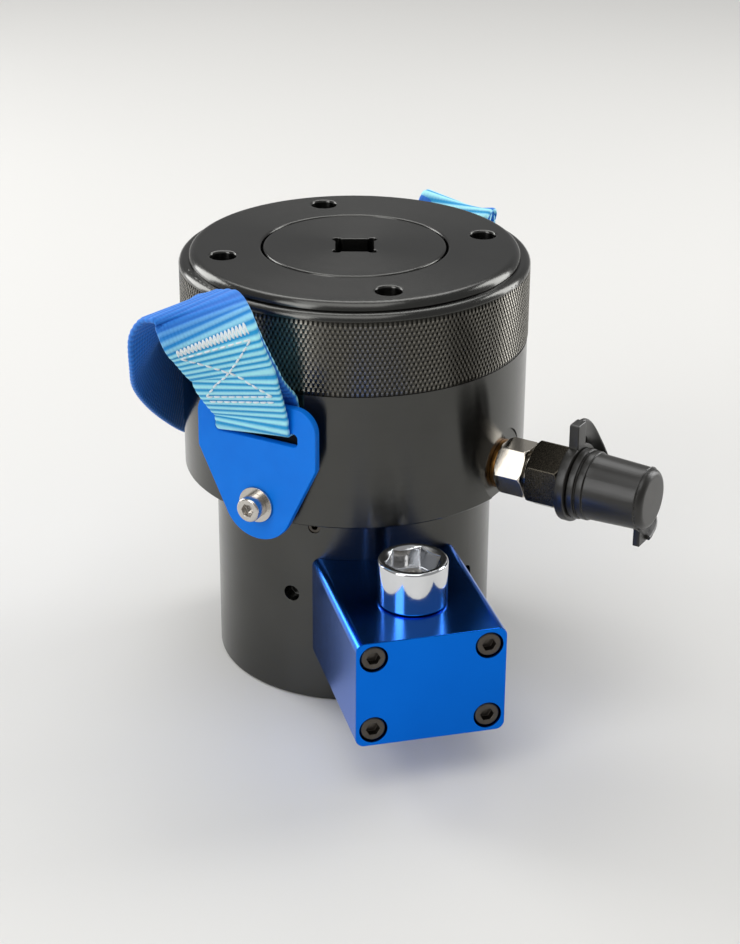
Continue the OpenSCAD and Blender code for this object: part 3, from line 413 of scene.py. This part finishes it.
def knurled_band():
    """Diamond knurl rolled round the top of the cylinder: rows of small points, each turned by half a
    pitch."""
    root = KNURL_ROOT + KNURL_CLEAR
    bpy.ops.object.select_all(action="DESELECT")
    bpy.ops.mesh.primitive_cylinder_add(
        vertices=2 * KNURL_POINTS, radius=root * MM, depth=(KNURL_TOP - KNURL_Z) * MM,
        end_fill_type="NOTHING", location=(0, 0, (KNURL_Z + KNURL_TOP) / 2 * MM))
    obj = bpy.context.object
    obj.name = "knurl"
    bpy.ops.object.transform_apply(location=True, rotation=True, scale=True)
    for edge in obj.data.edges:
        a, b = (obj.data.vertices[i].co for i in edge.vertices)
        edge.select = abs(a.z - b.z) > MM
    bpy.ops.object.mode_set(mode="EDIT")
    bpy.ops.mesh.select_mode(type="EDGE")
    bpy.ops.mesh.subdivide(number_cuts=KNURL_ROWS - 1)
    bpy.ops.mesh.select_mode(type="VERT")
    bpy.ops.mesh.select_all(action="DESELECT")
    bpy.ops.object.mode_set(mode="OBJECT")
    row_h = (KNURL_TOP - KNURL_Z) * MM / KNURL_ROWS
    for vertex in obj.data.vertices:
        column = round(math.atan2(vertex.co.y, vertex.co.x) / math.pi * KNURL_POINTS)
        row = round((vertex.co.z - KNURL_Z * MM) / row_h)
        vertex.select = (column + row) % 2 == 0 and 0 < row < KNURL_ROWS
    out = KNURL_R / root
    bpy.ops.object.mode_set(mode="EDIT")
    bpy.ops.transform.resize(value=(out, out, 1), center_override=(0, 0, 0))
    bpy.ops.mesh.select_all(action="SELECT")
    bpy.ops.mesh.quads_convert_to_tris(quad_method="SHORTEST_DIAGONAL")
    bpy.ops.object.mode_set(mode="OBJECT")
    dress(obj, KNURL_STEEL_PAINTED_SHADE)
    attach(obj, "body")


knurled_band()


# Webbing strap. Its route repeats the part's stations: out, over to the free side and up from each lug's
# strap end, then the direction of the width, in millimetres.
STRAP_W = 30.0
STRAP_T = 1.8
STRAP_EDGE = 0.9
RIB_PITCH = 2.5
RIB_H = 0.32
ROWS_PER_RIB = 6
LUG_TURN = math.radians(-43)
LUG_OUT = Vector((math.sin(LUG_TURN), -math.cos(LUG_TURN), 0))
LUG_SIDE = Vector((-math.cos(LUG_TURN), -math.sin(LUG_TURN), 0))
START_OUT = 74.5
START_Z = 128.2
FRONT_ROUTE = [
    (0, 1.8, 0, -0.12, -1, 0.3), (0.9, 2.2, 2.5, -0.14, -1, 0.3), (2.8, 2.8, 5.5, -0.2, -0.95, 0.3),
    (6, 3.8, 11, -0.3, -0.9, 0.25), (8, 5.2, 16, -0.45, -0.85, 0.2), (7.5, 8, 20, -0.5, -0.8, 0.15),
    (4.5, 13, 23, -0.6, -0.8, 0.12), (2, 20.5, 22, -0.75, -0.6, 0.2), (-1.5, 28.5, 16, -0.85, -0.4, 0.3),
    (-9, 37, 5, -0.85, -0.2, 0.5), (-18.5, 46.5, -5.5, -0.75, 0, 0.7), (-34.5, 55, -19, -0.6, 0.1, 0.8),
    (-53.5, 61, -33, -0.5, 0.1, 0.85), (-72.5, 64.5, -45, -0.45, 0, 0.9),
]
BACK_ROUTE = [
    (0, 0, 0, 0, -1, 0), (0.7, 0, 2.5, 0, -1, 0), (2, 0.5, 7, -0.1, -1, 0), (4.5, 1, 12, -0.2, -1, -0.1),
    (8.5, 1.5, 12.5, -0.2, -1, -0.1), (13.5, 2, 5, -0.2, -1, -0.1), (15.5, 3.5, -6, -0.2, -0.95, -0.15),
    (15.5, 9, -19, -0.4, -0.85, -0.35), (11.5, 22, -33, -0.8, -0.6, -0.05),
    (-0.5, 40, -44, -0.7, -0.45, 0.5), (-18.5, 53, -51, -0.4, -0.45, 0.8),
    (-38.5, 62, -54, -0.1, -0.3, 0.95), (-58.5, 66, -52, 0.2, -0.1, 0.95),
]
# The sewn end, out and up: behind the bar, through the slot below it and up in front; then how firmly the
# bar holds the strap there, which squeezes it narrower and keeps it level
LOOP = [
    (70.6, 125.0, 0.2), (66.4, 121.6, 0.5), (63.0, 119.2, 0.8), (61.4, 116.6, 1), (61.3, 113.2, 1),
    (61.3, 110.4, 1), (62.2, 108.1, 1), (64.5, 107.3, 1), (66.8, 108.1, 1), (67.7, 110.4, 1),
    (68.0, 113.0, 0.9), (70.0, 117.0, 0.6), (72.4, 121.6, 0.3), (74.3, 125.4, 0.1),
]
SQUEEZE = 0.08
HELD_TILT = 0.12
HELD_SIDE = 0.3
# The two layers of the sewn end, in millimetres along the route: how far they run, over what length the
# outer one then comes in to the middle, how far apart their stations are, and where the leg's first one is
SEWN_UP = 21
SEWN_FADE = 14
SEWN_STEP = 3
LEG_FROM = 2
# Lengths along the strap from the bottom of its loop: given painted light so far, fading over so much
PAINTED_LIGHT_TO = 42.0
PAINTED_LIGHT_FADE = 10.0
# The bottom of the loop lies within this length of the turned-in tail's end
LOOP_WITHIN = 60
# Points of the curve between two stations: of the whole route, and of one half with its loop. The whole route
# is then cut into steps of about a millimetre.
ROUTE_POINTS = 16
HALF_POINTS = 10
ROUTE_STEP = 1.0

# A band's section: shares of the rounded edge from outside in, then shares of the flat to the middle
EDGE_SHARES = (0, 0.15, 0.5, 1)
FLAT_SHARES = (0.8, 0.6, 0.4, 0.2, 0)
CLOTH_SMOOTH = math.radians(60)

# Stitching, in millimetres: two rows across, a cross, a row and a zigzag above it, between two heights from
# the bottom of the loop
SEAM_LOW = 16
SEAM_HIGH = 40
SEAM_REACH = 12.0
SEAM_GAP = 2.4
SEAM_STITCH = 2.6
ZIGZAG_TEETH = 38
ZIGZAG_GAP = 1
ZIGZAG_H = 3.6
ZIGZAG_STITCH = 4.0
THREAD_R = 0.36
THREAD_FACETS = 6
# How high the thread lies on the ribs, and where along its own length each stitch starts and ends
THREAD_SEAT = 0.42
STITCH_ENDS = (0.06, 0.94)
# Rings of one stitch: share of its length, share of its radius, and radii by which it is raised
STITCH_RINGS = ((0.0, 0.5, -0.5), (0.25, 1.0, 0.0), (0.75, 1.0, 0.0), (1.0, 0.5, -0.5))


def smooth(stations, steps):
    """Catmull-Rom curve through stations of any width."""
    padded = [stations[0]] + list(stations) + [stations[-1]]
    fine = []
    for p0, p1, p2, p3 in zip(padded, padded[1:], padded[2:], padded[3:]):
        for k in range(steps):
            t = k / steps
            fine.append([
                0.5 * (2 * b + (c - a) * t + (2 * a - 5 * b + 4 * c - d) * t * t
                       + (3 * b - a - 3 * c + d) * t ** 3)
                for a, b, c, d in zip(p0, p1, p2, p3)])
    return fine + [list(stations[-1])]


def evenly(line, step):
    """Points of a line at even steps of its length, and the length; the step is fitted to it."""
    reach = [0.0]
    for a, b in zip(line, line[1:]):
        reach.append(reach[-1] + math.dist(a[:3], b[:3]))
    count = max(2, round(reach[-1] / step))
    even, i = [], 0
    for k in range(count + 1):
        s = reach[-1] * k / count
        while i < len(reach) - 2 and reach[i + 1] < s:
            i += 1
        t = (s - reach[i]) / (reach[i + 1] - reach[i])
        even.append([a + (b - a) * t for a, b in zip(line[i], line[i + 1])])
    return even, reach[-1]


def framed(line, place):
    """Centre, direction, width and face directions along a line of stations, in the part's frame. The width
    is as long as the share of the full width that the station gives last."""
    centres = [place(*p[:3]) for p in line]
    rows = []
    for i, p in enumerate(line):
        along = (centres[min(i + 1, len(line) - 1)] - centres[max(i - 1, 0)]).normalized()
        width = place(*p[3:6]) - place(0, 0, 0)
        width = (width - along * along.dot(width)).normalized()
        rows.append((centres[i], along, width * p[6], along.cross(width)))
    return rows


def lug_place(sign):
    """Millimetres out from the axis, to the free side and up, as a point of the part; sign is -1 at the
    back."""
    return lambda out, side, up: (LUG_OUT * (sign * out) + LUG_SIDE * side + Vector((0, 0, up))) * MM


def rib_height(s):
    """How far a rib stands up at a length along the strap, from 0 to 1."""
    return abs(math.sin(math.pi * s / RIB_PITCH))


def ribbon(name, rows, step, width, thick, edge, rib, flip, painted_light=lambda s: 0.0):
    """A band of cloth or rubber swept along rows, with rounded edges and a rib across it every pitch. Its
    outer face carries painted light as far as painted_light says at a length along it."""
    half = width / 2
    across = [half - edge * share for share in EDGE_SHARES] + [half * share for share in FLAT_SHARES]
    across = across + [-u for u in reversed(across[:-1])]
    section = []
    for u in across:
        rest = max(0.0, abs(u) - (half - edge)) / edge
        section.append((u, thick / 2 * math.sqrt(max(0.0, 1 - rest * rest)), 1))
    section = section + [(u, h, -1) for u, h, _ in reversed(section[1:-1])]
    points, faces, ribs, wear_and_painted_light, uvs = [], [], [], [], []
    for i, (centre, _, wide, face) in enumerate(rows):
        crest = rib_height(i * step)
        for u, h, side in section:
            lift = h + (rib * (crest - 0.5) if h > 0 else 0)
            points.append(centre + wide * (u * MM) + face * (flip * side * lift * MM))
            ribs.append(crest)
            wear_and_painted_light.append(painted_light(i * step) if side > 0 else 0.0)
            uvs.append((u * MM, i * step * MM))
    n = len(section)
    for i in range(len(rows) - 1):
        for j in range(n):
            k = (j + 1) % n
            quad = (i * n + j, i * n + k, (i + 1) * n + k, (i + 1) * n + j)
            faces.append(quad if flip < 0 else quad[::-1])
    faces.append(tuple(range(n)) if flip > 0 else tuple(reversed(range(n))))
    last = [(len(rows) - 1) * n + j for j in range(n)]
    faces.append(tuple(reversed(last)) if flip > 0 else tuple(last))
    mesh = bpy.data.meshes.new(name)
    mesh.from_pydata(points, [], faces)
    for attribute, values in (("rib", ribs), ("painted_light", wear_and_painted_light)):
        mesh.attributes.new(attribute, "FLOAT", "POINT").data.foreach_set("value", values)
    layer = mesh.uv_layers.new(name="UVMap")
    for loop in mesh.loops:
        layer.data[loop.index].uv = uvs[loop.vertex_index]
    mesh.validate()
    obj = placed(name, mesh)
    turn_outward()
    bpy.ops.object.shade_smooth_by_angle(angle=CLOTH_SMOOTH)
    return obj


def stitch_run(path, rows, step, flip, lift, length):
    """Stitches of thread along a path of (across, along) millimetres on a band's face."""
    spots = []
    for (u0, s0), (u1, s1) in zip(path, path[1:]):
        count = max(1, round(math.hypot(u1 - u0, s1 - s0) / length))
        for k in range(count):
            spot = []
            for end in STITCH_ENDS:
                t = (k + end) / count
                s = s0 + (s1 - s0) * t
                centre, _, wide, face = rows[min(len(rows) - 1, max(0, round(s / step)))]
                across = (u0 + (u1 - u0) * t) * MM
                spot.append((centre + wide * across + face * (flip * lift * MM), face * flip))
            spots.append(spot)
    return spots


def stitching(name, spots, radius):
    """One mesh of short threads, each sunk at its ends as a tight stitch is."""
    points, faces = [], []
    sides = THREAD_FACETS
    for (a, face_a), (b, face_b) in spots:
        along = (b - a).normalized()
        up = (face_a + face_b).normalized()
        wide = along.cross(up).normalized()
        first = len(points)
        for share, swell, sink in STITCH_RINGS:
            middle = a.lerp(b, share) + up * (sink * radius * MM)
            for k in range(sides):
                turn = 2 * math.pi * k / sides
                points.append(middle + (wide * math.cos(turn) + up * math.sin(turn)) * (swell * radius * MM))
        last = first + (len(STITCH_RINGS) - 1) * sides
        for ring in range(first, last, sides):
            for k in range(sides):
                j = (k + 1) % sides
                faces.append((ring + k, ring + j, ring + sides + j, ring + sides + k))
        faces.append(tuple(first + k for k in reversed(range(sides))))
        faces.append(tuple(last + k for k in range(sides)))
    mesh = bpy.data.meshes.new(name)
    mesh.from_pydata(points, [], faces)
    obj = placed(name, mesh)
    turn_outward()
    bpy.ops.object.shade_smooth()
    return obj


def absolute(route):
    """A route's stations from the axis and the foot, at the full width."""
    return [(START_OUT + p[0], p[1], START_Z + p[2]) + tuple(p[3:]) + (1,) for p in route]


def mirrored(station):
    """A station of the other half, as this half sees it."""
    return (-station[0], station[1], station[2], -station[3], station[4], station[5], station[6])


def half_of_the_strap(name, own, other, sign, nodes):
    """One half of the strap: the turned-in tail behind, the loop round the lug's bar, the sewn leg and the
    free run up to the middle, where it meets the other half."""
    whole = smooth(own + [mirrored(s) for s in reversed(other)], ROUTE_POINTS)
    even, _ = evenly(whole, ROUTE_STEP)
    route = framed(even, lambda *p: Vector(p) * MM)
    middle = len(even) // 2

    def layer(i, offset):
        """The station i millimetres along the route, moved off it to one face."""
        face = route[i][3] * offset
        return [c + f for c, f in zip(even[i][:3], face)] + even[i][3:]

    tail = [layer(i, -STRAP_T / 2) for i in range(SEWN_UP, 0, -SEWN_STEP)]
    _, first_side, _, first_lean, _, first_tilt, _ = own[0]
    loop = []
    for out, up, hold in LOOP:
        free = 1 - hold
        side = first_side * free + HELD_SIDE * hold
        tilt = first_tilt * free + (HELD_TILT if sign > 0 else 0) * hold
        loop.append((out, side, up, first_lean * free, -1, tilt, 1 - SQUEEZE * hold))
    leg = []
    for i in range(LEG_FROM, middle + 1, SEWN_STEP):
        fade = min(1.0, max(0.0, (SEWN_UP + SEWN_FADE - i) / SEWN_FADE))
        leg.append(layer(i, STRAP_T / 2 * fade))
    leg.append(even[middle])
    line, total = evenly(smooth(tail + loop + leg, HALF_POINTS), RIB_PITCH / ROWS_PER_RIB)
    step = total / (len(line) - 1)
    rows = framed(line, lug_place(sign))
    # The outer face is the one that looks away from the part a third of the way up, on the sewn leg
    flip = 1 if rows[len(rows) // 3][3].dot(LUG_OUT * sign) > 0 else -1
    bottom = min(range(len(rows)), key=lambda i: rows[i][0].z if i * step < LOOP_WITHIN else 1) * step
    strap = ribbon(name, rows, step, STRAP_W, STRAP_T, STRAP_EDGE, RIB_H, flip,
                   painted_light=lambda s: min(1.0, max(0.0, 1 - (s - bottom - PAINTED_LIGHT_TO) / PAINTED_LIGHT_FADE)))
    dress(strap, MATERIALS["webbing"])
    spots = []
    low, high, reach = bottom + SEAM_LOW, bottom + SEAM_HIGH, SEAM_REACH
    second = low + SEAM_GAP
    lift = STRAP_T / 2 + RIB_H * THREAD_SEAT
    for path in (
        [(-reach, low), (reach, low)], [(-reach, second), (reach, second)],
        [(-reach, second), (reach, high)], [(reach, second), (-reach, high)],
        [(-reach, high), (reach, high)],
    ):
        spots += stitch_run(path, rows, step, flip, lift, SEAM_STITCH)
    zigzag = [(-reach + 2 * reach * k / ZIGZAG_TEETH, high + ZIGZAG_GAP + ZIGZAG_H * (k % 2))
              for k in range(ZIGZAG_TEETH + 1)]
    spots += stitch_run(zigzag, rows, step, flip, lift, ZIGZAG_STITCH)
    thread = stitching(name + "_stitches", spots, THREAD_R)
    dress(thread, THREAD)
    for piece in (strap, thread):
        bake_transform(piece)
    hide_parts(*nodes)


front_stations, back_stations = absolute(FRONT_ROUTE), absolute(BACK_ROUTE)
half_of_the_strap(
    "strap_front_half", front_stations, back_stations, 1, ["strap_front_end", "strap"])
half_of_the_strap(
    "strap_back_half", back_stations, front_stations, -1, ["strap_back_end", "strap"])


# Rubber tether from the ring behind the dust cap to the cap's pull tab, in the port's own frame
PORT_TURN = math.radians(45)
PORT_SIDE = Vector((math.cos(PORT_TURN), math.sin(PORT_TURN), 0))
PORT_OUT = Vector((math.sin(PORT_TURN), -math.cos(PORT_TURN), 0))
PORT_Z = 83.3
TETHER_W = 6.0
TETHER_T = 1.6
TETHER_EDGE = 0.7
TETHER_STEP = 1.0
TETHER_POINTS = 8
RING_OUT = 84.75
# To the side, up and out from the ring's middle, then the direction of the width, in millimetres
TETHER_ROUTE = [
    (0.6, 18.5, 1.8, 0, 1, 0), (3.7, 18.5, 1.8, 0, 1, 0), (8.2, 15.5, 1.8, 0.4, 0.9, 0.1),
    (13.6, 8, 2, 0.5, 0.5, 0.7), (15.8, 0, 6, 0, 0.6, 0.8), (15.5, -6.5, 17, 0.1, 0.8, 0.5),
    (10.5, -12, 24.5, 0.4, -0.3, 0.8), (4.3, -14, 26, 0.1, -0.4, 0.9), (2.0, -14.3, 26.2, 0.1, -0.4, 0.9),
]


def port_place(side, up, along):
    """Millimetres to the port's side, up, and out along it from the part's axis, as a point of the part."""
    return (PORT_SIDE * side + PORT_OUT * along + Vector((0, 0, up))) * MM


def rubber_tether():
    """The strip between ring and cap."""
    stations = [(x, y + PORT_Z, z + RING_OUT) + tuple(v) + (1,) for x, y, z, *v in TETHER_ROUTE]
    line, _ = evenly(smooth(stations, TETHER_POINTS), TETHER_STEP)
    rows = framed(line, port_place)
    obj = ribbon("tether_strip", rows, TETHER_STEP, TETHER_W, TETHER_T, TETHER_EDGE, 0.0, 1)
    dress(obj, MATERIALS["rubber"])
    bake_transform(obj)
    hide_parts("tether")


rubber_tether()


def coiled(node):
    """A coil spring's own solid, carried with its body."""
    obj = placed(node + "_coils", frame["nodes"][node].data.copy())
    dress(obj, MATERIALS[SLOT_OF[node]])
    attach(obj, BODY_OF[node])
    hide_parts(node)
    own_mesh(obj)


coiled("return_springs")
coiled("valve_spring")

# Every other node keeps its solid, with its own finish
for node, obj in frame["nodes"].items():
    obj.data.materials.clear()
    obj.data.materials.append(MATERIALS[SLOT_OF[node]])


# Studio: pale floor, soft lamps, the photograph's camera. Lengths in metres, power in watts.
FLOOR_SIZE = 8
FLOOR_Z = -0.0002
FLOOR_CLOUDS = 1.5
WORLD_STRENGTH = 0.3
CAMERA_PLACE = Vector((-0.169275, -0.678926, 0.394975))
CAMERA_AIM = Vector((0, 0, 0.075))
CAMERA_ROLL = math.radians(0.181)
CAMERA_SENSOR_MM = 36
CAMERA_LENS_MM = 82.62
CAMERA_SHIFT = (0.0169, -0.0257)


def studio_floor():
    """Pale matt paper roll, with a faint unevenness."""
    bpy.ops.object.select_all(action="DESELECT")
    bpy.ops.mesh.primitive_plane_add(size=FLOOR_SIZE, location=(0, 0, FLOOR_Z))
    floor = bpy.context.object
    floor.name = "studio_floor"
    bpy.ops.object.transform_apply(location=True, rotation=True, scale=True)
    material, shader = new_material("pale_paper", Roughness=0.8)
    cloud = add(material, "ShaderNodeTexNoise", {
        "Vector": object_place(material), "Scale": FLOOR_CLOUDS, "Detail": 2.0})
    tint(material, shader, cloud.outputs["Fac"], "#d2d1ce", "#d9d8d5")
    floor.data.materials.append(material)


def facing(place, aim):
    """The turn of a lamp or a camera at place that looks at aim."""
    return (Vector(aim) - Vector(place)).to_track_quat("-Z", "Y")


def soft_lamp(name, place, aim, size, power):
    """A softbox of width and height size, facing aim."""
    bpy.ops.object.light_add(type="AREA", location=place, rotation=facing(place, aim).to_euler())
    lamp = bpy.context.object
    lamp.name = name
    lamp.data.shape = "RECTANGLE"
    lamp.data.size, lamp.data.size_y = size
    lamp.data.energy = power
    lamp.visible_camera = False


studio_floor()
soft_lamp("lamp_left", (-0.85, -0.6, 0.6), (0, 0, 0.1), (0.5, 0.8), 4.5)
soft_lamp("lamp_back_left", (-0.75, 0.8, 0.5), (0, 0, 0.08), (0.5, 0.8), 8)
soft_lamp("lamp_right", (1.0, 0.2, 0.45), (0, 0, 0.08), (0.4, 0.9), 6.5)
soft_lamp("lamp_back", (0.2, 0.9, 1.35), (0, 0, 0.15), (1.2, 0.7), 8)
soft_lamp("lamp_above", (-0.25, -0.55, 1.7), (0, 0, 0.08), (1.4, 1.2), 9.5)

world = bpy.data.worlds.new("studio")
scene.world = world
world.use_nodes = True
background = world.node_tree.nodes["Background"]
background.inputs["Color"].default_value = (1, 1, 1, 1)
background.inputs["Strength"].default_value = WORLD_STRENGTH

bpy.ops.object.camera_add(location=CAMERA_PLACE)
camera = bpy.context.object
turn = facing(CAMERA_PLACE, CAMERA_AIM).to_matrix() @ Matrix.Rotation(CAMERA_ROLL, 3, "Z")
camera.rotation_euler = turn.to_euler()
camera.data.sensor_width = CAMERA_SENSOR_MM
camera.data.lens = CAMERA_LENS_MM
camera.data.shift_x, camera.data.shift_y = CAMERA_SHIFT
scene.camera = camera
scene.view_settings.view_transform = "Standard"
